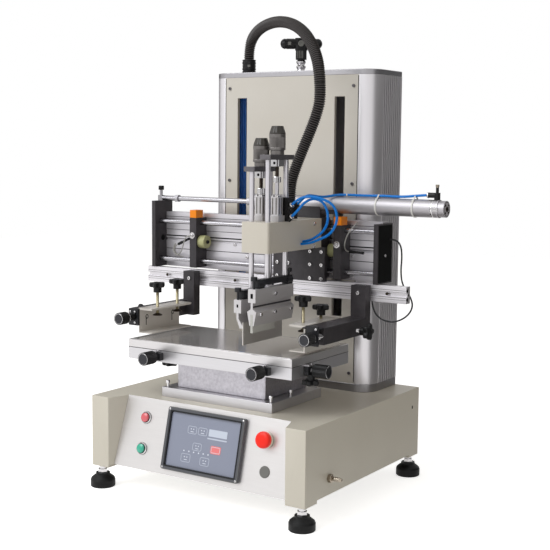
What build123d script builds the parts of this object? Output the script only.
# Flatbed screen printing machine: a pneumatic bench printer with a steel cabinet, a riser table,
# a rear column, and a lifting head that carries a travelling squeegee and flood bar.
# Millimetres. +X is the machine's right, +Y is the rear, +Z is up. The floor is z = 0.
# While it is drawn, x = 0 is the cabinet's middle and y = 0 its front face. The last lines move
# every piece so that the origin is the bottom centre of the whole machine.
import os
from math import atan2, cos, degrees, pi, radians, sin, tan
from build123d import *

# Cabinet
cabinet_width = 608
cabinet_depth = 548
cabinet_top = 226
cabinet_underside = 60
leg_bottom = 53
leg_depth = 51
cheek_width = 52
recess_taper = 20
panel_foot_y = 15
panel_head_y = 55
control_sheet = 2

# Display frame, keypad and buttons on the sloping panel
display_share = 0.869
display_height = 146
display_x_share = 0.0417
display_up = 87
display_proud = 10
display_rim = 9
display_corner = 5
keypad_depth = 5
button_hole = 22
button_bezel = 29
button_bezel_height = 4
button_lens_height = 7
button_x_share = -0.667
red_button_up = 124
green_button_up = 50
mushroom_x_share = 0.702
mushroom_up = 121
mushroom_diameter = 38
mushroom_height = 14
mushroom_stalk = 9
blank_x_share = 0.726
blank_up = 51
blank_diameter = 27
blank_thickness = 2

# Feet
foot_diameter = 60
foot_neck = 34
foot_shoulder = 46
foot_height = 34
foot_inset = 18
foot_stud = 16
foot_nut = 24
foot_nut_height = 9

# Air inlet on the right side
inlet_y = 100
inlet_z = 99
inlet_hex = 20
inlet_hex_length = 9
inlet_barb = 11
inlet_barb_length = 24

# Column
column_half_width = 240
column_front_y = 400
column_depth = 142
column_top = 1015
column_corner = 44
column_cap_height = 13
column_band_height = 20
column_back_wall = 12
column_panel_thickness = 10
rib_count = 9
rib_start_y = 451
rib_pitch = 10
rib_width = 4
rib_depth = 3
slot_x = 144
slot_width = 28.5
slot_bottom = 411
slot_top = 950
lift_rod_diameter = 20
lift_rod_y = 470

# Riser and table
riser_plate_half_width = 158.6
riser_plate_front_y = 89
riser_plate_back_y = 307
riser_plate_top = 249
riser_block_half_width = 127
riser_block_front_y = 109
riser_block_back_y = 290
table_half_width = 232.8
table_front_y = 53.5
table_back_y = 306
table_bottom = 317
table_split = 345
table_top_z = 364
table_front_knob_x = (-141.5, 163.5)
table_knob_z = 331.7
table_side_knob_y = 118
knob_diameter = 31
knob_length = 36
knob_stem = 10
knob_stem_length = 9
knob_block_width = 30
knob_block_height = 18.4
knob_block_depth = 12
knob_clip_width = 15
knob_clip_height = 4
star_diameter = 41
star_thickness = 12
star_hub = 20
star_hub_height = 12.5
under_star_gap = 13.5
under_left_star_y = 190
under_left_star_inset = 19.3
under_right_star_out = 10.2

# Lifting head
beam_left = -387
beam_right = 377
beam_front_y = 315
beam_depth = 20
beam_bottom = 469
beam_height = 40
beam_slot = 8
beam_slot_depth = 6
back_front_y = 357
back_depth = 26
back_top = 653
back_groove = 6
back_groove_depth = 4
plate_thickness = 12
left_plate_x = -370
right_plate_x = 292
plate_front_y = 310
plate_back_y = 383
left_plate_top = 683
right_plate_top = 650
shaft_seat = 7
shaft_diameter = 12
shaft_y = 333
shaft_low_z = 531
shaft_high_z = 630
stop_width = 21
left_stop_x = -246
right_stop_x = 183
stop_front_y = 312
stop_bottom = 514
stop_top = 643
stop_cap_height = 20
stop_cap_depth = 30
bumper_diameter = 33
bumper_length = 20
bumper_z = 581
bracket_thickness = 16
bracket_bottom = 520
bracket_top = 645
bracket_bearing = 34
running_clearance = 0.05

# Screen frame arms and clamps
arm_thickness = 25
arm_bottom = 394
arm_top = 507
left_arm_x = (-250, -215)
right_arm_x = (245, 285)
bar_height = 38
left_bar_x = (-262, -238)
right_bar_x = (238, 285)
left_bar_front_y = 98
right_bar_front_y = 102
clamp_web_x = 238
clamp_sheet = 3
clamp_flange = 5
clamp_length = 156
clamp_bottom = 372
clamp_top = 433.5
clamp_top_tip = 196.5
clamp_bottom_tip = 197
clamp_y = 98
clamp_star_y = (38, 116)
clamp_star_x = 210
clamp_stud = 8
left_star_rise = (49, 50)
right_star_rise = (49, 21)
clamp_stud_length = 52
clamp_pad = 24
clamp_pad_top = 10
clamp_pad_height = 5
left_adjuster_x = -250
left_plate_thickness = 6
left_adjuster_reach = 55
left_plate_sides = (-265, -235)
left_plate_z = (390, 431)
right_adjuster_x = 271
right_plate_sides = (253, 284.5)
right_plate_z = (394, 438.5)
right_plate_ahead = 25
right_plate_thickness = 4
right_adjuster_reach = 37
strap_thickness = 3
strap_left = 241
strap_top = 433
spacer_nut = 17
spacer_nut_x = 276
spacer_nut_z = 414
adjuster_z = 412
adjuster_knob = 30
adjuster_knob_length = 26
adjuster_collar = 20
adjuster_ring = 26
adjuster_ring_length = 5
arm_star_y = (175, 250)
arm_star_z = (411, 408)
arm_star_stud = 24

# Carriage, head housing and traverse cylinder
carriage_left = 22
carriage_right = 152
carriage_front_y = 298
carriage_skirt = 12
carriage_skirt_right = 168
carriage_back_y = 350
carriage_bottom = 515
carriage_skirt_bottom = 507
carriage_top = 659
housing_left = 83
housing_right = 158
housing_front_y = 70
housing_bottom = 590
housing_height = 69
housing_corner = 6
cylinder_diameter = 41
cylinder_y = 340
cylinder_z = 690
cylinder_left = -60
cylinder_right = 445
cylinder_wall = 2.5
cylinder_cap = 16
cylinder_cap_diameter = 38
cylinder_nose = 20
cylinder_nose_length = 22
traverse_rod = 12
rod_reach = 160
rod_eye_x = -362
rod_eye = 17
rod_eye_length = 50
rod_eye_neck = 13
rod_lock_nut = 20
rod_lock_nut_length = 10
rod_pin = 8
rod_pin_rise = 21
rod_pin_knob = 14.5
rod_pin_knob_height = 11
saddle_left = 40
saddle_right = 140
saddle_strip_right = 185
saddle_strip_bottom = 668
saddle_strip_depth = 24
elbow_x = 437

# Squeegee unit and flood unit
squeegee_x = 142
flood_x = 99
rod_front_y = 90
rod_back_y = 164
unit_y = 127
guide_rod = 12
squeegee_drop = 0
flood_drop = 27
crosshead_width = 30
crosshead_length = 100
crosshead_thickness = 11
crosshead_rise = 139
unit_knob_diameter = 37
unit_knob_collar = 31
unit_knob_collar_length = 10
unit_knob_top = 25.5
unit_knob_length = 64
unit_knob_taper = 14
head_block = 24
head_block_height = 15
rod_nut = 17
rod_nut_low = 88
rod_nut_high = 101
bar_section = 14
bar_hang = 56
bar_front_y = 48
bar_back_y = 186
hub_diameter = 19
hub_length = 22
holder_width = 20
holder_length = 157
holder_front_y = 29
holder_hang = 76
holder_block = 30
holder_neck = 6
holder_neck_height = 14
jaw_height = 37
rubber_thickness = 6
rubber_length = 90
rubber_bottom = 417
flood_holder_front_y = 36
flood_sheet = 2
flood_sheet_bottom = 386
flood_sheet_width = 160
small_knob = 15
small_knob_height = 9
small_knob_stem = 5
screw_inset = 9
front_screw_rise = 18
rear_screw_rise = 8
unit_cylinder_size = 20
unit_cylinder_height = 42
piston_rod = 9
piston_depth = 5
spacer_size = 26
spacer_height = 14
flood_leg_top = 12
flood_leg_turn = 28
flood_leg_foot = 34
flood_leg_out = 14
flood_sheet_grip = 20

# Fittings on top of the column
hose_diameter = 28
hose_port_x = -151
hose_port_y = 440
gland_diameter = 36
gland_height = 35
tee_x = 7.5
tee_y = 440
tee_post = 25
tee_post_height = 30
tee_body = 34
tee_body_height = 26
tee_arm = 26.5
tee_arm_length = 105
tee_turn = 30
lower_gland_x = 103
lower_gland_y = 244
lower_gland_height = 42
hose_joint_offset = (190.0, -73.5, 98.5)

# Air tubes and sensor cable
tube_diameter = 6
cable_diameter = 4
column_tube_x = (-164.5, -171, -177.5, -184)
column_tube_y = 445
fitting_diameter = 12
elbow_body = 14
elbow_rise = 10
elbow_length = 24
needle_diameter = 7
needle_rise = 24
port_y = 148
port_block = 14
port_block_right = 21
port_height = 54
port_tilt = 42
port_fitting = 14
port_rise = (3.1, 29.6)
loop_exit = ((58.5, -55), (66.5, -50))
tube_stub_rise = 14.5
tube_stub = 29
tube_stub_direction = (11, 1, 11)
cable_exit = (368, 612)
cable_end = (283, 325)

os.makedirs("parts", exist_ok=True)
pieces = {}
cords = {}


def arc_radii(points):
    """Radius of each arc: 0.45 of the shorter run over the tangent of half the turn."""
    radii = []
    for before, here, after in zip(points, points[1:], points[2:]):
        run_in = Vector(*here) - Vector(*before)
        run_out = Vector(*after) - Vector(*here)
        turn = radians(run_in.get_angle(run_out))
        radii.append(0.45 * min(run_in.length, run_out.length) / tan(turn / 2))
    return radii


def cord(name, points, diameter):
    """A round tube along straight runs joined by tangent arcs."""
    radii = arc_radii(points)
    with BuildPart() as tube:
        with BuildLine() as route:
            path = FilletPolyline(*points, radius=radii)
        with BuildSketch(Plane(path @ 0, z_dir=path % 0)):
            Circle(diameter / 2)
        sweep()
    expected = pi * diameter**2 / 4 * path.length
    print(name, "length", round(path.length, 1), "radii", [round(r / diameter, 1) for r in radii],
          "volume ratio", round(tube.part.volume / expected, 4))
    cords[name] = tube.part


# Cabinet: folded steel box with two front cheeks and a recess for the sloping control panel.
panel_slope = degrees(atan2(panel_head_y - panel_foot_y, cabinet_top - cabinet_underside))
panel_length = (cabinet_top - cabinet_underside) / cos(radians(panel_slope))
inner_cheek = cabinet_width / 2 - cheek_width
display_width = display_share * inner_cheek
display_x = display_x_share * inner_cheek
button_x = button_x_share * inner_cheek
mushroom_x = mushroom_x_share * inner_cheek
blank_x = blank_x_share * inner_cheek
panel_plane = Plane(
    origin=(0, panel_foot_y, cabinet_underside),
    x_dir=(1, 0, 0),
    z_dir=(0, -cos(radians(panel_slope)), sin(radians(panel_slope))),
)
with BuildPart() as recess:
    with BuildSketch(Plane.YZ):
        with BuildLine():
            Polyline(
                (-1, cabinet_underside - 1),
                (panel_foot_y - tan(radians(panel_slope)), cabinet_underside - 1),
                (panel_head_y + tan(radians(panel_slope)), cabinet_top + 1),
                (-1, cabinet_top + 1),
                close=True,
            )
        make_face()
    extrude(amount=inner_cheek, both=True)
    with BuildSketch(Plane.XY.offset(cabinet_underside - 1)):
        with BuildLine():
            Polyline(
                (-inner_cheek, 0),
                (-inner_cheek + recess_taper, panel_head_y + 1),
                (inner_cheek - recess_taper, panel_head_y + 1),
                (inner_cheek, 0),
                (inner_cheek, -1),
                (-inner_cheek, -1),
                close=True,
            )
        make_face()
    extrude(amount=cabinet_top - cabinet_underside + 2, mode=Mode.INTERSECT)

with BuildPart() as cabinet:
    with BuildSketch(Plane.XY.offset(cabinet_underside)):
        with Locations((0, cabinet_depth / 2)):
            Rectangle(cabinet_width, cabinet_depth)
    extrude(amount=cabinet_top - cabinet_underside)
    add(recess.part, mode=Mode.SUBTRACT)
    with BuildSketch(Plane.XY.offset(cabinet_underside)):
        for side in (-1, 1):
            with Locations((side * (cabinet_width - cheek_width) / 2, leg_depth / 2)):
                Rectangle(cheek_width, leg_depth)
            with Locations((side * (cabinet_width - cheek_width) / 2, cabinet_depth - leg_depth / 2)):
                Rectangle(cheek_width, leg_depth)
    extrude(amount=leg_bottom - cabinet_underside)
pieces["cabinet"] = cabinet.part

# Sloping control panel: a bright sheet that fills the recess.
panel_foot_half = inner_cheek - recess_taper * panel_foot_y / (panel_head_y + 1)
panel_head_half = inner_cheek - recess_taper * panel_head_y / (panel_head_y + 1)
with BuildPart() as control_panel:
    with BuildSketch(panel_plane):
        with BuildLine():
            Polyline(
                (-panel_foot_half, 0),
                (panel_foot_half, 0),
                (panel_head_half, panel_length),
                (-panel_head_half, panel_length),
                close=True,
            )
        make_face()
    extrude(amount=control_sheet)
pieces["control_panel"] = control_panel.part

panel_face = panel_plane.offset(control_sheet)
with BuildPart() as display_frame:
    with BuildSketch(panel_face):
        with Locations((display_x, display_up)):
            RectangleRounded(display_width, display_height, display_corner)
    extrude(amount=display_proud)
    with BuildSketch(panel_face.offset(display_proud - keypad_depth)):
        with Locations((display_x, display_up)):
            RectangleRounded(display_width - 2 * display_rim, display_height - 2 * display_rim, display_corner)
    extrude(amount=keypad_depth, mode=Mode.SUBTRACT)
pieces["display_frame"] = display_frame.part

with BuildPart() as keypad:
    with BuildSketch(panel_face.offset(display_proud - keypad_depth)):
        with Locations((display_x, display_up)):
            RectangleRounded(
                display_width - 2 * display_rim - 4, display_height - 2 * display_rim - 4, display_corner - 2
            )
    extrude(amount=1)
pieces["keypad"] = keypad.part

# Push buttons: a round bezel with a lens that stands in it.
with BuildPart() as push_buttons:
    with BuildSketch(panel_face):
        with Locations((button_x, red_button_up), (button_x, green_button_up)):
            Circle(button_bezel / 2)
    extrude(amount=button_bezel_height)
    with BuildSketch(panel_face.offset(button_bezel_height)):
        with Locations((button_x, red_button_up), (button_x, green_button_up)):
            Circle(button_hole / 2)
    extrude(amount=button_lens_height)
    with BuildSketch(panel_face):
        with Locations((blank_x, blank_up)):
            Circle(blank_diameter / 2)
    extrude(amount=blank_thickness)
pieces["push_buttons"] = push_buttons.part

with BuildPart() as mushroom_button:
    with BuildSketch(panel_face):
        with Locations((mushroom_x, mushroom_up)):
            Circle(button_bezel / 2)
    extrude(amount=mushroom_stalk)
    with BuildSketch(panel_face.offset(mushroom_stalk)):
        with Locations((mushroom_x, mushroom_up)):
            Circle(mushroom_diameter / 2)
    extrude(amount=mushroom_height)
    fillet(mushroom_button.edges().sort_by(Axis(panel_plane.origin, panel_plane.z_dir))[-1], 6)
pieces["mushroom_button"] = mushroom_button.part

# Levelling feet: rubber bells with a plated stud and nut.
foot_places = [
    (side * (cabinet_width / 2 - foot_inset), y)
    for side in (-1, 1)
    for y in (foot_inset, cabinet_depth - foot_inset)
]
with BuildPart() as foot:
    with BuildSketch(Plane.XZ):
        with BuildLine():
            Polyline(
                (0, 0),
                (foot_diameter / 2 - 1.5, 0),
                (foot_diameter / 2, 1.5),
                (foot_diameter / 2, foot_height / 2),
                (foot_diameter / 2 - 2, foot_height * 0.63),
                (foot_shoulder / 2, foot_height * 0.75),
                (foot_neck / 2 + 0.5, foot_height * 0.87),
                (foot_neck / 2, foot_height),
                (0, foot_height),
                close=True,
            )
        make_face()
    revolve(axis=Axis.Z)
with BuildPart() as levelling_feet:
    with Locations(*[(x, y, 0) for x, y in foot_places]):
        add(foot.part)
pieces["levelling_feet"] = levelling_feet.part

with BuildPart() as foot_studs:
    with BuildSketch(Plane.XY.offset(foot_height)):
        with Locations(*foot_places):
            Circle(foot_stud / 2)
    extrude(amount=leg_bottom - foot_height)
    with BuildSketch(Plane.XY.offset(foot_height)):
        with Locations(*foot_places):
            RegularPolygon(foot_nut / 2, 6)
    extrude(amount=foot_nut_height)
pieces["foot_studs"] = foot_studs.part

# Air inlet: a hexagon body and a hose tail on the right side.
inlet_plane = Plane(origin=(cabinet_width / 2, inlet_y, inlet_z), x_dir=(0, 1, 0), z_dir=(1, 0, 0))
with BuildPart() as air_inlet:
    with BuildSketch(inlet_plane):
        RegularPolygon(inlet_hex / 2, 6)
    extrude(amount=inlet_hex_length)
    with BuildSketch(inlet_plane.offset(inlet_hex_length)):
        Circle(inlet_barb / 2)
    extrude(amount=inlet_barb_length)
pieces["air_inlet"] = air_inlet.part

# Column: thick extruded sides with rounded front corners, closed behind, open in front.
column_inner = column_half_width - column_corner
column_back_y = column_front_y + column_depth


# The plan has a flat front, quarter-round front corners, and flat sides and back.
with BuildSketch() as column_outline:
    with BuildLine():
        Line((-column_half_width, column_back_y), (-column_half_width, column_front_y + column_corner))
        RadiusArc(
            (-column_half_width, column_front_y + column_corner), (-column_inner, column_front_y), -column_corner
        )
        Line((-column_inner, column_front_y), (column_inner, column_front_y))
        RadiusArc(
            (column_inner, column_front_y), (column_half_width, column_front_y + column_corner), -column_corner
        )
        Line((column_half_width, column_front_y + column_corner), (column_half_width, column_back_y))
        Line((column_half_width, column_back_y), (-column_half_width, column_back_y))
    make_face()

shell_bottom = cabinet_top + column_band_height
shell_top = column_top - column_cap_height
with BuildPart() as column_shell:
    with BuildSketch(Plane.XY.offset(shell_bottom)):
        add(column_outline.sketch)
        with Locations((0, (column_front_y + column_back_y - column_back_wall) / 2)):
            Rectangle(
                2 * column_inner, column_back_y - column_back_wall - column_front_y, mode=Mode.SUBTRACT
            )
        for side in (-1, 1):
            with Locations(*[
                (side * (column_half_width - rib_depth / 2), rib_start_y + i * rib_pitch)
                for i in range(rib_count)
            ]):
                Rectangle(rib_depth, rib_width, mode=Mode.SUBTRACT)
    extrude(amount=shell_top - shell_bottom)
pieces["column_shell"] = column_shell.part

with BuildPart() as column_ends:
    with BuildSketch(Plane.XY.offset(cabinet_top)):
        add(column_outline.sketch)
    extrude(amount=column_band_height)
    with BuildSketch(Plane.XY.offset(shell_top)):
        add(column_outline.sketch)
    extrude(amount=column_cap_height)
pieces["column_ends"] = column_ends.part

with BuildPart() as column_panel:
    with BuildSketch(Plane.XZ.offset(-column_front_y - column_panel_thickness)):
        with Locations((0, (shell_bottom + shell_top) / 2)):
            Rectangle(2 * column_inner, shell_top - shell_bottom)
        with Locations((-slot_x, (slot_bottom + slot_top) / 2), (slot_x, (slot_bottom + slot_top) / 2)):
            Rectangle(slot_width, slot_top - slot_bottom, mode=Mode.SUBTRACT)
    extrude(amount=column_panel_thickness)
pieces["column_panel"] = column_panel.part

# Two vertical guide rods inside the column, behind the slots, carry the head.
with BuildPart() as lift_rods:
    with BuildSketch(Plane.XY.offset(shell_bottom)):
        with Locations((-slot_x, lift_rod_y), (slot_x, lift_rod_y)):
            Circle(lift_rod_diameter / 2)
    extrude(amount=shell_top - shell_bottom)
pieces["lift_rods"] = lift_rods.part

# Four air tubes stand in the column, seen through its left slot.
with BuildPart() as column_tubes:
    with BuildSketch(Plane.XY.offset(shell_bottom)):
        with Locations(*[(x, column_tube_y) for x in column_tube_x]):
            Circle(tube_diameter / 2)
    extrude(amount=shell_top - shell_bottom)
pieces["column_tubes"] = column_tubes.part

# Riser: a base plate and a cast block under the table.
with BuildPart() as riser_plate:
    with BuildSketch(Plane.XY.offset(cabinet_top)):
        with Locations((0, (riser_plate_front_y + riser_plate_back_y) / 2)):
            Rectangle(2 * riser_plate_half_width, riser_plate_back_y - riser_plate_front_y)
    extrude(amount=riser_plate_top - cabinet_top)
pieces["riser_plate"] = riser_plate.part

with BuildPart() as riser_block:
    with BuildSketch(Plane.XY.offset(riser_plate_top)):
        with Locations((0, (riser_block_front_y + riser_block_back_y) / 2)):
            Rectangle(2 * riser_block_half_width, riser_block_back_y - riser_block_front_y)
    extrude(amount=table_bottom - riser_plate_top)
    fillet(riser_block.edges().filter_by(Axis.Z), 4)
pieces["riser_block"] = riser_block.part

# Table: two plates, one on the other.
table_middle_y = (table_front_y + table_back_y) / 2
with BuildPart() as table_base:
    with BuildSketch(Plane.XY.offset(table_bottom)):
        with Locations((0, table_middle_y)):
            Rectangle(2 * table_half_width, table_back_y - table_front_y)
    extrude(amount=table_split - table_bottom)
pieces["table_base"] = table_base.part

with BuildPart() as table_top:
    with BuildSketch(Plane.XY.offset(table_split)):
        with Locations((0, table_middle_y)):
            Rectangle(2 * table_half_width, table_back_y - table_front_y)
    extrude(amount=table_top_z - table_split)
    chamfer(table_top.faces().sort_by(Axis.Z)[-1].edges(), 1)
pieces["table_top"] = table_top.part


def turned_knob(plane):
    """A block on the plane with a small clip on its top, and a round knob on a stem before it."""
    with BuildPart() as piece:
        with BuildSketch(plane):
            Rectangle(knob_block_width, knob_block_height)
        extrude(amount=knob_block_depth)
        with BuildSketch(plane):
            with Locations((-knob_clip_width * 0.3, (knob_block_height + knob_clip_height) / 2)):
                Rectangle(knob_clip_width, knob_clip_height)
        extrude(amount=knob_block_depth)
        with BuildSketch(plane.offset(knob_block_depth)):
            Circle(knob_stem / 2)
        extrude(amount=knob_stem_length)
        with BuildSketch(plane.offset(knob_block_depth + knob_stem_length)):
            Circle(knob_diameter / 2)
        extrude(amount=knob_length)
        chamfer(piece.edges().filter_by(GeomType.CIRCLE).group_by(SortBy.RADIUS)[-1], 1.2)
    return piece.part


def star_knob(plane, stem_diameter, stem_length):
    """A star grip with five lobes on a hub, on a stem that starts on the plane."""
    with BuildPart() as piece:
        with BuildSketch(plane):
            Circle(stem_diameter / 2)
        extrude(amount=stem_length)
        with BuildSketch(plane.offset(stem_length)):
            Circle(star_hub / 2)
        extrude(amount=star_hub_height)
        with BuildSketch(plane.offset(stem_length + star_hub_height)):
            Circle(star_diameter * 0.38)
            with PolarLocations(star_diameter * 0.34, 5):
                Circle(star_diameter * 0.16)
        extrude(amount=star_thickness)
    return piece.part


knob_planes = [
    Plane(origin=(x, table_front_y, table_knob_z), x_dir=(1, 0, 0), z_dir=(0, -1, 0))
    for x in table_front_knob_x
]
knob_planes.append(Plane(
    origin=(table_half_width, table_side_knob_y, table_knob_z),
    x_dir=(0, 1, 0),
    z_dir=(1, 0, 0),
))
block_foot_z = table_knob_z - knob_block_height / 2
under_star_planes = [
    Plane(origin=(x, y, z), x_dir=(1, 0, 0), z_dir=(0, 0, -1))
    for x, y, z in (
        (under_left_star_inset - table_half_width, under_left_star_y, table_bottom),
        (table_half_width + under_right_star_out, table_side_knob_y, block_foot_z + 1),
    )
]
with BuildPart() as table_knobs:
    for plane in knob_planes:
        add(turned_knob(plane))
    add(star_knob(under_star_planes[0], clamp_stud, under_star_gap))
    add(star_knob(under_star_planes[1], star_hub, 1))
pieces["table_knobs"] = table_knobs.part

# Fittings on the column's top: a hose gland and an air tee.
with BuildPart() as hose_gland:
    with BuildSketch(Plane.XY.offset(column_top)):
        with Locations((hose_port_x, hose_port_y)):
            Circle(gland_diameter / 2)
    extrude(amount=gland_height)
pieces["hose_gland"] = hose_gland.part

tee_arm_z = column_top + tee_post_height + tee_body_height + tee_arm / 2
tee_direction = (cos(radians(tee_turn)), sin(radians(tee_turn)), 0)
tee_plane = Plane(origin=(tee_x, tee_y, tee_arm_z), x_dir=(0, 0, 1), z_dir=tee_direction)
with BuildPart() as air_tee:
    with BuildSketch(Plane.XY.offset(column_top)):
        with Locations((tee_x, tee_y)):
            Circle(tee_post / 2)
    extrude(amount=tee_post_height)
    with BuildSketch(Plane.XY.offset(column_top + tee_post_height)):
        with Locations((tee_x, tee_y)):
            Circle(tee_body / 2)
    extrude(amount=tee_body_height + tee_arm / 2)
    with BuildSketch(tee_plane):
        Circle(tee_arm / 2)
    extrude(amount=tee_arm_length / 2, both=True)
pieces["air_tee"] = air_tee.part

# Beam: slotted aluminium extrusion across the head.
beam_top = beam_bottom + beam_height
beam_middle_z = beam_bottom + beam_height / 2
with BuildPart() as beam:
    with BuildSketch(Plane.YZ.offset(beam_left)):
        with Locations((beam_front_y + beam_depth / 2, beam_middle_z)):
            Rectangle(beam_depth, beam_height)
        with Locations((beam_front_y + beam_slot_depth / 2, beam_middle_z)):
            Rectangle(beam_slot_depth, beam_slot, mode=Mode.SUBTRACT)
    extrude(amount=beam_right - beam_left)
pieces["beam"] = beam.part

plates = [(left_plate_x, left_plate_top), (right_plate_x, right_plate_top)]
shaft_left = left_plate_x + plate_thickness - shaft_seat
shaft_right = right_plate_x + shaft_seat
with BuildPart() as end_plates:
    for x, top in plates:
        with BuildSketch(Plane.YZ.offset(x)):
            with Locations(((plate_front_y + plate_back_y) / 2, (beam_top + top) / 2)):
                Rectangle(plate_back_y - plate_front_y, top - beam_top)
        extrude(amount=plate_thickness)
    with BuildSketch(Plane.YZ.offset(shaft_left)):
        with Locations((shaft_y, shaft_low_z), (shaft_y, shaft_high_z)):
            Circle(shaft_diameter / 2 + running_clearance)
    extrude(amount=shaft_right - shaft_left, mode=Mode.SUBTRACT)
pieces["end_plates"] = end_plates.part

back_left = left_plate_x + plate_thickness
with BuildPart() as back_extrusion:
    with BuildSketch(Plane.YZ.offset(back_left)):
        with Locations((back_front_y + back_depth / 2, (beam_top + back_top) / 2)):
            Rectangle(back_depth, back_top - beam_top)
        with Locations(*[
            (back_front_y + back_groove_depth / 2, beam_top + (back_top - beam_top) * share)
            for share in (0.14, 0.5, 0.86)
        ]):
            Rectangle(back_groove_depth, back_groove, mode=Mode.SUBTRACT)
    extrude(amount=right_plate_x - back_left)
pieces["back_extrusion"] = back_extrusion.part

with BuildPart() as guide_shafts:
    with BuildSketch(Plane.YZ.offset(shaft_left)):
        with Locations((shaft_y, shaft_low_z), (shaft_y, shaft_high_z)):
            Circle(shaft_diameter / 2)
    extrude(amount=shaft_right - shaft_left)
pieces["guide_shafts"] = guide_shafts.part

with BuildPart() as stop_blocks:
    for x in (left_stop_x, right_stop_x):
        with BuildSketch(Plane.YZ.offset(x)):
            with Locations(((stop_front_y + back_front_y) / 2, (stop_bottom + stop_top) / 2)):
                Rectangle(back_front_y - stop_front_y, stop_top - stop_bottom)
            with Locations((shaft_y, shaft_low_z), (shaft_y, shaft_high_z)):
                Circle(shaft_diameter / 2 + running_clearance, mode=Mode.SUBTRACT)
        extrude(amount=stop_width)
pieces["stop_blocks"] = stop_blocks.part

with BuildPart() as stop_caps:
    with BuildSketch(Plane.XY.offset(stop_top)):
        with Locations(*[
            (x + stop_width / 2, stop_front_y + stop_cap_depth / 2) for x in (left_stop_x, right_stop_x)
        ]):
            Rectangle(stop_width, stop_cap_depth)
    extrude(amount=stop_cap_height)
pieces["stop_caps"] = stop_caps.part

with BuildPart() as bumpers:
    for x, facing in ((left_stop_x + stop_width, 1), (right_stop_x, -1)):
        with BuildSketch(Plane(origin=(x, shaft_y, bumper_z), x_dir=(0, 1, 0), z_dir=(facing, 0, 0))):
            Circle(bumper_diameter / 2)
        extrude(amount=bumper_length)
pieces["bumpers"] = bumpers.part

# Lift brackets reach back through the column's slots to bearings on the lift rods.
bracket_back_y = lift_rod_y + bracket_bearing / 2
with BuildPart() as lift_brackets:
    with BuildSketch(Plane.XY.offset(bracket_bottom)):
        for side in (-1, 1):
            with Locations((side * slot_x, (plate_back_y + lift_rod_y) / 2)):
                Rectangle(bracket_thickness, lift_rod_y - plate_back_y)
            with Locations((side * slot_x, lift_rod_y)):
                Circle(bracket_bearing / 2)
                Circle(lift_rod_diameter / 2 + running_clearance, mode=Mode.SUBTRACT)
    extrude(amount=bracket_top - bracket_bottom)
pieces["lift_brackets"] = lift_brackets.part

# Traverse rod: a rod end sits on the left end plate, with a nut; the rod runs into the cylinder.
with BuildPart() as traverse_rod_piece:
    with BuildSketch(Plane.YZ.offset(rod_eye_x)):
        with Locations((cylinder_y, cylinder_z)):
            Circle(traverse_rod / 2)
    extrude(amount=cylinder_left + rod_reach - rod_eye_x)
    with BuildSketch(Plane.XY.offset(left_plate_top)):
        with Locations((rod_eye_x, cylinder_y)):
            Circle(rod_eye / 2)
    extrude(amount=2 * (cylinder_z - left_plate_top))
    with BuildSketch(Plane.YZ.offset(rod_eye_x)):
        with Locations((cylinder_y, cylinder_z)):
            Circle(rod_eye_neck / 2)
    extrude(amount=rod_eye_length)
    with BuildSketch(Plane.YZ.offset(rod_eye_x + rod_eye_length)):
        with Locations((cylinder_y, cylinder_z)):
            RegularPolygon(rod_lock_nut / 2, 6)
    extrude(amount=rod_lock_nut_length)
    with BuildSketch(Plane.XY.offset(cylinder_z)):
        with Locations((rod_eye_x, cylinder_y)):
            Circle(rod_pin / 2)
    extrude(amount=rod_pin_rise)
pieces["traverse_rod"] = traverse_rod_piece.part

# Arms: upright brackets bolted to the beam's front, with bars that reach forward.
with BuildPart() as clamp_arms:
    for (low_x, high_x), (bar_low_x, bar_high_x), bar_front in (
        (left_arm_x, left_bar_x, left_bar_front_y),
        (right_arm_x, right_bar_x, right_bar_front_y),
    ):
        with BuildSketch(Plane.XY.offset(arm_bottom)):
            with Locations(((low_x + high_x) / 2, beam_front_y - arm_thickness / 2)):
                Rectangle(high_x - low_x, arm_thickness)
        extrude(amount=arm_top - arm_bottom)
        with BuildSketch(Plane.XY.offset(arm_bottom)):
            with Locations(((bar_low_x + bar_high_x) / 2, (bar_front + beam_front_y) / 2)):
                Rectangle(bar_high_x - bar_low_x, beam_front_y - bar_front)
        extrude(amount=bar_height)
pieces["clamp_arms"] = clamp_arms.part

# Screen frame clamps: folded channels that open towards the middle.
clamps = [(-1, left_star_rise), (1, right_star_rise)]
with BuildPart() as frame_clamps:
    for side, rises in clamps:
        web = side * (clamp_web_x - clamp_sheet)
        with BuildSketch(Plane.XZ.offset(-clamp_y - clamp_length)):
            with BuildLine():
                Polyline(
                    (side * clamp_web_x, clamp_bottom),
                    (side * clamp_bottom_tip, clamp_bottom),
                    (side * clamp_bottom_tip, clamp_bottom + clamp_sheet),
                    (web, clamp_bottom + clamp_sheet),
                    (web, clamp_top - clamp_flange),
                    (side * clamp_top_tip, clamp_top - clamp_flange),
                    (side * clamp_top_tip, clamp_top),
                    (side * clamp_web_x, clamp_top),
                    close=True,
                )
            make_face()
        extrude(amount=clamp_length)
    with Locations(*[
        (side * clamp_star_x, clamp_y + along, clamp_top)
        for side, rises in clamps
        for along in clamp_star_y
    ]):
        Cylinder(clamp_stud / 2 + running_clearance, 3 * clamp_flange, mode=Mode.SUBTRACT)
pieces["frame_clamps"] = frame_clamps.part

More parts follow.
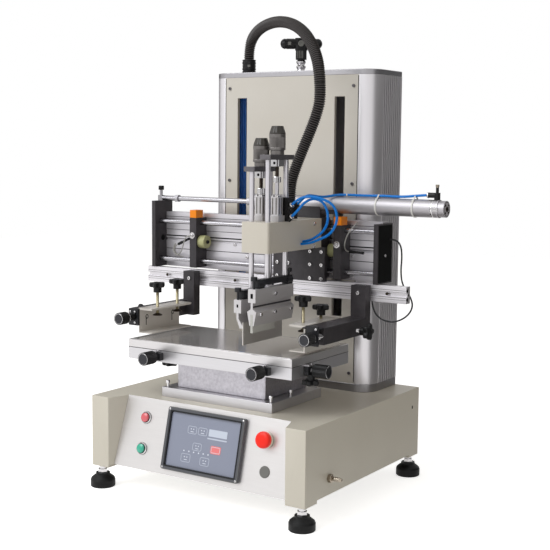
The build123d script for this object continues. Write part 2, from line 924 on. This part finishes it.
# Star knobs on long studs with round feet, and the thumb knob on the traverse rod's end.
with BuildPart() as clamp_knobs:
    for side, rises in clamps:
        for along, rise in zip(clamp_star_y, rises):
            foot_z = clamp_top + rise - star_hub_height - clamp_stud_length
            foot_plane = Plane.XY.offset(foot_z)
            spot = foot_plane.shift_origin((side * clamp_star_x, clamp_y + along, foot_z))
            add(star_knob(spot, clamp_stud, clamp_stud_length))
            with BuildSketch(spot.offset(-clamp_pad_height)):
                Circle(clamp_pad / 2)
            with BuildSketch(spot):
                Circle(clamp_pad_top / 2)
            loft()
    with BuildSketch(Plane.XY.offset(cylinder_z + rod_pin_rise)):
        with Locations((rod_eye_x, cylinder_y)):
            Circle(rod_pin_knob / 2)
    extrude(amount=rod_pin_knob_height)
pieces["clamp_knobs"] = clamp_knobs.part

# Adjusters: a knob and collar on a plate at the front end of each bar. The right plate stands ahead
# of its bar on a strap and a nut. A star knob is screwed into the outer side of each bar.
right_plate_back = right_bar_front_y - right_plate_ahead + right_plate_thickness
with BuildPart() as adjusters:
    for x, sides, heights, back, thickness, reach in (
        (left_adjuster_x, left_plate_sides, left_plate_z, left_bar_front_y, left_plate_thickness,
         left_adjuster_reach),
        (right_adjuster_x, right_plate_sides, right_plate_z, right_plate_back, right_plate_thickness,
         right_adjuster_reach),
    ):
        with BuildSketch(Plane.XZ.offset(-back)):
            with Locations((sum(sides) / 2, sum(heights) / 2)):
                Rectangle(sides[1] - sides[0], heights[1] - heights[0])
        extrude(amount=thickness)
        face = Plane(origin=(x, back - thickness, adjuster_z), x_dir=(1, 0, 0), z_dir=(0, -1, 0))
        with BuildSketch(face):
            Circle(adjuster_collar / 2)
        extrude(amount=reach)
        with BuildSketch(face.offset(reach - adjuster_knob_length - adjuster_ring_length)):
            Circle(adjuster_ring / 2)
        extrude(amount=adjuster_ring_length)
        with BuildSketch(face.offset(reach - adjuster_knob_length)):
            Circle(adjuster_knob / 2)
        extrude(amount=adjuster_knob_length)
    with BuildSketch(Plane.XY.offset(strap_top - strap_thickness)):
        with Locations(((strap_left + right_plate_sides[1]) / 2, (right_bar_front_y + right_plate_back) / 2)):
            Rectangle(right_plate_sides[1] - strap_left, right_bar_front_y - right_plate_back)
    extrude(amount=strap_thickness)
    with BuildSketch(Plane.XZ.offset(-right_bar_front_y)):
        with Locations((spacer_nut_x, spacer_nut_z)):
            RegularPolygon(spacer_nut / 2, 6)
    extrude(amount=right_bar_front_y - right_plate_back)
    for x, y, z, facing in (
        (left_bar_x[0], arm_star_y[0], arm_star_z[0], -1),
        (right_bar_x[1], arm_star_y[1], arm_star_z[1], 1),
    ):
        side_face = Plane(origin=(x, y, z), x_dir=(0, 1, 0), z_dir=(facing, 0, 0))
        add(star_knob(side_face, clamp_stud, arm_star_stud - star_hub_height))
pieces["adjusters"] = adjusters.part

# Carriage: a block that runs on the two shafts, with a skirt plate in front of the beam.
with BuildPart() as carriage_block:
    with BuildSketch(Plane.XY.offset(carriage_bottom)):
        with Locations(((carriage_left + carriage_right) / 2, (carriage_front_y + carriage_back_y) / 2)):
            Rectangle(carriage_right - carriage_left, carriage_back_y - carriage_front_y)
    extrude(amount=carriage_top - carriage_bottom)
    with BuildSketch(Plane.XY.offset(carriage_skirt_bottom)):
        with Locations(((carriage_left + carriage_skirt_right) / 2, carriage_front_y + carriage_skirt / 2)):
            Rectangle(carriage_skirt_right - carriage_left, carriage_skirt)
    extrude(amount=housing_bottom - carriage_skirt_bottom)
    with BuildSketch(Plane.XY.offset(carriage_top)):
        with Locations(((saddle_left + saddle_right) / 2, cylinder_y - 5)):
            Rectangle(saddle_right - saddle_left, 30)
    extrude(amount=cylinder_z - carriage_top)
    with BuildSketch(Plane.XY.offset(saddle_strip_bottom)):
        with Locations(((saddle_right + saddle_strip_right) / 2, cylinder_y - 5)):
            Rectangle(saddle_strip_right - saddle_right, saddle_strip_depth)
    extrude(amount=cylinder_z - saddle_strip_bottom)
    with BuildSketch(Plane.YZ.offset(carriage_left - 1)):
        with Locations((shaft_y, shaft_low_z), (shaft_y, shaft_high_z)):
            Circle(shaft_diameter / 2 + running_clearance)
        with Locations((cylinder_y, cylinder_z)):
            Circle(cylinder_diameter / 2)
    extrude(amount=saddle_strip_right - carriage_left + 2, mode=Mode.SUBTRACT)
pieces["carriage_block"] = carriage_block.part

# Head housing: folded cover that stands forward of the carriage, with bores for four guide rods.
housing_top = housing_bottom + housing_height
unit_cylinder_bottom = housing_top + spacer_height
piston_start = unit_cylinder_bottom + unit_cylinder_height - piston_depth
crosshead_z = housing_top + crosshead_rise
bar_top_z = housing_bottom - bar_hang
holder_top_z = housing_bottom - holder_hang
rod_places = [(x, y) for x in (flood_x, squeegee_x) for y in (rod_front_y, rod_back_y)]
with BuildPart() as head_housing:
    with BuildSketch(Plane.XY.offset(housing_bottom)):
        with Locations(((housing_left + housing_right) / 2, (housing_front_y + carriage_front_y) / 2)):
            Rectangle(housing_right - housing_left, carriage_front_y - housing_front_y)
    extrude(amount=housing_top - housing_bottom)
    fillet(head_housing.edges().filter_by(Axis.Z).group_by(Axis.Y)[0], housing_corner)
    with BuildSketch(Plane.XY.offset(housing_bottom)):
        with Locations(*rod_places):
            Circle(guide_rod / 2 + running_clearance)
    extrude(amount=housing_top - housing_bottom, mode=Mode.SUBTRACT)
pieces["head_housing"] = head_housing.part

# Traverse cylinder: a tube with end caps, bored for its rod, with an elbow fitting at the far end.
with BuildPart() as traverse_cylinder:
    with BuildSketch(Plane.YZ.offset(cylinder_left)):
        with Locations((cylinder_y, cylinder_z)):
            Circle(cylinder_diameter / 2)
    extrude(amount=cylinder_right - cylinder_left)
    with BuildSketch(Plane.YZ.offset(cylinder_right)):
        with Locations((cylinder_y, cylinder_z)):
            Circle(cylinder_cap_diameter / 2)
    extrude(amount=cylinder_cap)
    with BuildSketch(Plane.YZ.offset(cylinder_left - cylinder_nose_length)):
        with Locations((cylinder_y, cylinder_z)):
            Circle(cylinder_nose / 2)
    extrude(amount=cylinder_nose_length)
    with BuildSketch(Plane.YZ.offset(cylinder_left + cylinder_cap)):
        with Locations((cylinder_y, cylinder_z)):
            Circle(cylinder_diameter / 2 - cylinder_wall)
    extrude(amount=cylinder_right - cylinder_left - 2 * cylinder_cap, mode=Mode.SUBTRACT)
    with BuildSketch(Plane.YZ.offset(cylinder_left - cylinder_nose_length)):
        with Locations((cylinder_y, cylinder_z)):
            Circle(traverse_rod / 2 + running_clearance)
    extrude(amount=cylinder_nose_length + cylinder_cap, mode=Mode.SUBTRACT)
pieces["traverse_cylinder"] = traverse_cylinder.part

# Black air fittings: an elbow on the traverse cylinder's end cap, a pair of ports behind each
# unit cylinder, and the gland where the hose comes down on the housing.
port_direction = (cos(radians(port_tilt)), 0, sin(radians(port_tilt)))
port_planes = [
    Plane(
        origin=(squeegee_x + port_block_right - 3.4, port_y, housing_top + rise),
        x_dir=(0, 1, 0),
        z_dir=port_direction,
    )
    for rise in port_rise
]
tube_stub_plane = Plane(
    origin=(lower_gland_x, lower_gland_y, housing_top + tube_stub_rise),
    x_dir=(0, 1, 0),
    z_dir=Vector(*tube_stub_direction).normalized(),
)
cylinder_crown = cylinder_z + cylinder_diameter / 2
elbow_z = cylinder_crown + elbow_rise
with BuildPart() as air_fittings:
    with BuildSketch(Plane.XY.offset(cylinder_z)):
        with Locations((elbow_x, cylinder_y)):
            Circle(elbow_body / 2)
    extrude(amount=elbow_z + fitting_diameter / 2 - cylinder_z)
    with BuildSketch(Plane.XY.offset(elbow_z)):
        with Locations((elbow_x, cylinder_y)):
            Circle(needle_diameter / 2)
    extrude(amount=needle_rise)
    with BuildSketch(Plane(origin=(elbow_x, cylinder_y, elbow_z), x_dir=(0, 1, 0), z_dir=(-1, 0, 0))):
        Circle(fitting_diameter / 2)
    extrude(amount=elbow_length)
    with BuildSketch(Plane.YZ.offset(cylinder_left)):
        with Locations((cylinder_y, cylinder_z)):
            Circle(cylinder_diameter / 2)
    extrude(amount=cylinder_right - cylinder_left, mode=Mode.SUBTRACT)
    with BuildSketch(Plane.XY.offset(housing_top)):
        with Locations((flood_x, port_y)):
            Rectangle(port_block, port_block)
        with Locations((squeegee_x + (port_block_right - port_block / 2) / 2, port_y)):
            Rectangle(port_block_right + port_block / 2, port_block)
    extrude(amount=port_height)
    for spot in port_planes:
        with BuildSketch(spot):
            Circle(fitting_diameter / 2)
        extrude(amount=port_fitting)
    with BuildSketch(Plane.XY.offset(housing_top)):
        with Locations((lower_gland_x, lower_gland_y)):
            Circle(gland_diameter / 2)
    extrude(amount=lower_gland_height)
    with BuildSketch(tube_stub_plane):
        Circle(fitting_diameter / 2)
    extrude(amount=tube_stub)
pieces["air_fittings"] = air_fittings.part

# Unit cylinders: two compact cylinders on spacers, bored for their piston rods.
with BuildPart() as unit_cylinders:
    with BuildSketch(Plane.XY.offset(housing_top)):
        with Locations((flood_x, unit_y), (squeegee_x, unit_y)):
            Rectangle(spacer_size, spacer_size)
    extrude(amount=unit_cylinder_bottom - housing_top)
    with BuildSketch(Plane.XY.offset(unit_cylinder_bottom)):
        with Locations((flood_x, unit_y), (squeegee_x, unit_y)):
            Rectangle(unit_cylinder_size, unit_cylinder_size)
    extrude(amount=unit_cylinder_height)
    with BuildSketch(Plane.XY.offset(unit_cylinder_bottom)):
        with Locations((flood_x, unit_y), (squeegee_x, unit_y)):
            Circle(piston_rod / 2 + running_clearance)
    extrude(amount=unit_cylinder_height, mode=Mode.SUBTRACT)
pieces["unit_cylinders"] = unit_cylinders.part


def unit_frame(x, drop):
    """Two guide rods and the piston rod with its nut and end block, and the crosshead and height knob."""
    with BuildPart() as rods:
        with BuildSketch(Plane.XY.offset(bar_top_z - drop)):
            with Locations((x, rod_front_y), (x, rod_back_y)):
                Circle(guide_rod / 2)
        extrude(amount=crosshead_z - bar_top_z)
        with BuildSketch(Plane.XY.offset(piston_start - drop)):
            with Locations((x, unit_y)):
                Circle(piston_rod / 2)
        extrude(amount=crosshead_z - piston_start)
        with BuildSketch(Plane.XY.offset(housing_top + rod_nut_low - drop)):
            with Locations((x, unit_y)):
                RegularPolygon(rod_nut / 2, 6)
        extrude(amount=rod_nut_high - rod_nut_low)
        with BuildSketch(Plane.XY.offset(crosshead_z - head_block_height - drop)):
            with Locations((x, unit_y)):
                Rectangle(head_block, head_block)
        extrude(amount=head_block_height)
    with BuildPart() as crosshead:
        with BuildSketch(Plane.XY.offset(crosshead_z - drop)):
            with Locations((x, unit_y)):
                RectangleRounded(crosshead_width, crosshead_length, 3)
        extrude(amount=crosshead_thickness)
    knob_z = crosshead_z + crosshead_thickness - drop
    with BuildPart() as knob:
        with BuildSketch(Plane.XY.offset(knob_z)):
            with Locations((x, unit_y)):
                Circle(unit_knob_collar / 2)
        extrude(amount=unit_knob_collar_length)
        with BuildSketch(Plane.XY.offset(knob_z + unit_knob_collar_length)):
            with Locations((x, unit_y)):
                Circle(unit_knob_diameter / 2)
        extrude(amount=unit_knob_length - unit_knob_taper - unit_knob_collar_length)
        with BuildSketch(Plane.XY.offset(knob_z + unit_knob_length - unit_knob_taper)):
            with Locations((x, unit_y)):
                Circle(unit_knob_diameter / 2)
        with BuildSketch(Plane.XY.offset(knob_z + unit_knob_length)):
            with Locations((x, unit_y)):
                Circle(unit_knob_top / 2)
        loft()
    return rods.part, crosshead.part, knob.part


def pivot_bar(x, drop):
    """A bar along Y with round clamp hubs at its ends, and two small knobs that clamp the blade holder."""
    with BuildPart() as piece:
        with BuildSketch(Plane.XY.offset(bar_top_z - bar_section - drop)):
            with Locations((x, (bar_front_y + bar_back_y) / 2)):
                Rectangle(bar_section, bar_back_y - bar_front_y)
        extrude(amount=bar_section)
        hub_z = holder_top_z + hub_diameter / 2 - drop
        for y in (bar_front_y, bar_back_y - hub_length):
            with BuildSketch(Plane.XZ.offset(-y - hub_length)):
                with Locations((x, hub_z)):
                    Circle(hub_diameter / 2)
                with Locations((x, (hub_z + holder_top_z - drop) / 2)):
                    Rectangle(hub_diameter * 0.8, hub_diameter / 2)
            extrude(amount=hub_length)
        for y, foot_z, rise in (
            (holder_front_y + screw_inset, holder_top_z, front_screw_rise),
            (bar_back_y - small_knob / 2 + 1, bar_top_z - 1, rear_screw_rise),
        ):
            with BuildSketch(Plane.XY.offset(foot_z - drop)):
                with Locations((x, y)):
                    Circle(small_knob_stem / 2)
            extrude(amount=rise)
            with BuildSketch(Plane.XY.offset(foot_z + rise - drop)):
                with Locations((x, y)):
                    Circle(small_knob / 2)
            extrude(amount=small_knob_height)
    return piece.part


squeegee_rods, squeegee_crosshead, squeegee_knob = unit_frame(squeegee_x, squeegee_drop)
flood_rods, flood_crosshead, flood_knob = unit_frame(flood_x, flood_drop)
pieces["squeegee_rods"] = squeegee_rods
pieces["squeegee_crosshead"] = squeegee_crosshead
pieces["squeegee_knob"] = squeegee_knob
pieces["flood_rods"] = flood_rods
pieces["flood_crosshead"] = flood_crosshead
pieces["flood_knob"] = flood_knob
pieces["squeegee_bar"] = pivot_bar(squeegee_x, squeegee_drop)
pieces["flood_bar"] = pivot_bar(flood_x, flood_drop)

# Squeegee holder: an extruded section with a block, a neck and two jaws that close on the rubber.
jaw_top = holder_top_z - holder_block - holder_neck_height
jaw_bottom = jaw_top - jaw_height
half_rubber = rubber_thickness / 2
with BuildPart() as squeegee_holder:
    with BuildSketch(Plane.XZ.offset(-holder_front_y - holder_length)):
        with Locations((squeegee_x, holder_top_z - holder_block / 2)):
            Rectangle(holder_width, holder_block)
        with Locations((squeegee_x, holder_top_z - holder_block - holder_neck_height / 2)):
            Rectangle(holder_neck, holder_neck_height)
        with BuildLine():
            Polyline(
                (squeegee_x - holder_width / 2 - 2, jaw_top - 6),
                (squeegee_x - holder_neck / 2, jaw_top),
                (squeegee_x + holder_neck / 2, jaw_top),
                (squeegee_x + holder_width / 2 + 2, jaw_top - 6),
                (squeegee_x + half_rubber + 3, jaw_bottom),
                (squeegee_x + half_rubber, jaw_bottom),
                (squeegee_x + half_rubber, jaw_top - 12),
                (squeegee_x - half_rubber, jaw_top - 12),
                (squeegee_x - half_rubber, jaw_bottom),
                (squeegee_x - half_rubber - 3, jaw_bottom),
                close=True,
            )
        make_face()
    extrude(amount=holder_length)
pieces["squeegee_holder"] = squeegee_holder.part

with BuildPart() as squeegee_rubber:
    with BuildSketch(Plane.XY.offset(rubber_bottom)):
        with Locations((squeegee_x, holder_front_y + rubber_length / 2)):
            Rectangle(rubber_thickness, rubber_length)
    extrude(amount=jaw_top - 12 - rubber_bottom)
pieces["squeegee_rubber"] = squeegee_rubber.part

# Flood bar: the same kind of block with a slanting leg that carries a thin steel sheet.
flood_top = holder_top_z - flood_drop
half_neck = holder_neck / 2
with BuildPart() as flood_holder:
    with BuildSketch(Plane.XZ.offset(-flood_holder_front_y - holder_length)):
        with BuildLine():
            Polyline(
                (flood_x - holder_width / 2, flood_top),
                (flood_x + holder_width / 2, flood_top),
                (flood_x + holder_width / 2, flood_top - holder_block),
                (flood_x + half_neck, flood_top - holder_block),
                (flood_x + half_neck, flood_top - holder_block - flood_leg_top),
                (flood_x + flood_leg_out, flood_top - holder_block - flood_leg_turn),
                (flood_x + flood_leg_out, flood_top - holder_block - flood_leg_foot),
                (flood_x + 2 * half_neck, flood_top - holder_block - flood_leg_foot),
                (flood_x - half_neck, flood_top - holder_block - flood_leg_top),
                (flood_x - half_neck, flood_top - holder_block),
                (flood_x - holder_width / 2, flood_top - holder_block),
                close=True,
            )
        make_face()
    extrude(amount=holder_length)
pieces["flood_holder"] = flood_holder.part

flood_sheet_x = flood_x + flood_leg_out + flood_sheet / 2
with BuildPart() as flood_blade:
    with BuildSketch(Plane.XY.offset(flood_sheet_bottom)):
        with Locations((flood_sheet_x, flood_holder_front_y + flood_sheet_width / 2)):
            Rectangle(flood_sheet, flood_sheet_width)
    extrude(amount=flood_top - holder_block - flood_sheet_grip - flood_sheet_bottom)
pieces["flood_blade"] = flood_blade.part



def between(start, end, steps):
    """Points at given shares of the way from start to end, each moved by its own offset."""
    return [
        tuple(a + (b - a) * share + shifted for a, b, shifted in zip(start, end, offset))
        for share, offset in steps
    ]


# Hoses and tubes.
hose_start = (hose_port_x, hose_port_y, column_top + gland_height)
hose_end = (lower_gland_x, lower_gland_y, housing_top + lower_gland_height)
hose_joint = tuple(
    (a + b) / 2 + shifted for a, b, shifted in zip(hose_start, hose_end, hose_joint_offset)
)
loop_starts = [
    tuple(spot.origin + Vector(*port_direction) * port_fitting) for spot in port_planes
]
loop_ends = [
    (housing_right, port_y + back, housing_top + down) for back, down in loop_exit
]
tube_start = tuple(tube_stub_plane.origin + tube_stub_plane.z_dir * tube_stub)
tube_end = (elbow_x - elbow_length, cylinder_y, elbow_z)
cable_start = (right_plate_x + plate_thickness, *cable_exit)
cable_stop = (*cable_end, beam_bottom)
cord("hose_upper", [hose_start] + between(hose_start, hose_joint, [
    (0.111, (-35.19, 19.04, 42.44)),
    (0.222, (-47.37, 27.57, 80.87)),
    (0.333, (-37.56, 25.11, 106.81)),
    (0.444, (-12.75, 14.15, 119.74)),
    (0.556, (15.75, 0.35, 116.26)),
    (0.667, (36.56, -11.61, 96.69)),
    (0.778, (40.87, -16.07, 64.13)),
    (1, (-5.5, 5.5, 37)),
]) + [hose_joint], hose_diameter)
cord("hose_lower", [hose_joint] + between(hose_joint, hose_end, [
    (0, (5.5, -5.5, -37)),
    (0.286, (14.52, -2.49, 3.08)),
    (0.429, (8.03, -1.99, 2.12)),
    (0.571, (-0.03, -1.51, 0.88)),
    (0.714, (-7.02, -2.01, -1.08)),
    (1, (0, 0, 38)),
]) + [hose_end], hose_diameter)
cord("tube_loop_high", [loop_starts[1]] + between(loop_starts[1], loop_ends[0], [
    (0.1, (16.2, -4.35, 22.93)),
    (0.2, (43.9, -5.7, 38.82)),
    (0.3, (75.6, -3.05, 42.22)),
    (0.4, (96.8, 4.6, 38.62)),
    (0.5, (103.0, 7.75, 21.01)),
    (0.6, (93.2, 8.9, 4.41)),
    (0.7, (74.4, 10.05, -3.69)),
    (0.8, (47.6, 10.2, -5.79)),
    (0.9, (22.8, 5.85, -6.9)),
]) + [loop_ends[0]], tube_diameter)
cord("tube_loop_low", [loop_starts[0]] + between(loop_starts[0], loop_ends[1], [
    (0.1, (14.2, -5.65, 17.78)),
    (0.2, (26.9, -4.3, 43.02)),
    (0.3, (47.1, -1.95, 60.27)),
    (0.4, (68.8, -0.1, 59.52)),
    (0.5, (79.5, -0.25, 43.76)),
    (0.6, (76.2, 2.1, 25.01)),
    (0.7, (61.4, 5.45, 10.26)),
    (0.8, (38.6, 6.8, 1.01)),
    (0.9, (16.8, 5.65, -3.25)),
]) + [loop_ends[1]], tube_diameter)
cord("cylinder_tube", [tube_start] + between(tube_start, tube_end, [
    (0.083, (-13.09, -6.82, 8.74)),
    (0.167, (-30.32, -3.58, 16.1)),
    (0.25, (-48.35, 8.6, 12.4)),
    (0.333, (-66.88, 21.79, 6.7)),
    (0.417, (-83.2, 33.88, 4.97)),
    (0.5, (-90.23, 41.07, 6.77)),
    (0.583, (-87.26, 39.26, 5.57)),
    (0.667, (-66.58, 31.35, 2.54)),
    (0.75, (-40.62, 23.53, 1.53)),
    (0.833, (-14.65, 15.72, -1.77)),
    (0.917, (-0.97, 7.81, 0.2)),
]) + [tube_end], tube_diameter)
cord("sensor_cable", [cable_start] + between(cable_start, cable_stop, [
    (0.083, (18.74, 3.57, 12.87)),
    (0.167, (34.51, 7.18, 9.88)),
    (0.25, (38.75, 10.75, -7.25)),
    (0.333, (37.99, 14.32, -24.38)),
    (0.417, (44.76, 15.93, -44.37)),
    (0.5, (74.5, 3.5, -53.5)),
    (0.583, (93.24, -4.93, -66.63)),
    (0.667, (82.01, -8.32, -79.62)),
    (0.75, (51.75, -7.75, -83.75)),
    (0.833, (19.49, -6.18, -66.88)),
    (0.917, (1.26, -3.57, -34.87)),
]) + [cable_stop], cable_diameter)

# The origin is the bottom centre of the rigid machine, without its hoses and cables.
boxes = [piece.bounding_box() for piece in pieces.values()]
middle_x = (min(box.min.X for box in boxes) + max(box.max.X for box in boxes)) / 2
middle_y = (min(box.min.Y for box in boxes) + max(box.max.Y for box in boxes)) / 2
shift = Location((-middle_x, -middle_y, 0))
print("shift", -middle_x, -middle_y)
pieces.update(cords)
for name, piece in pieces.items():
    placed = piece.moved(shift)
    placed.label = name
    export_step(placed, f"parts/{name}.step")
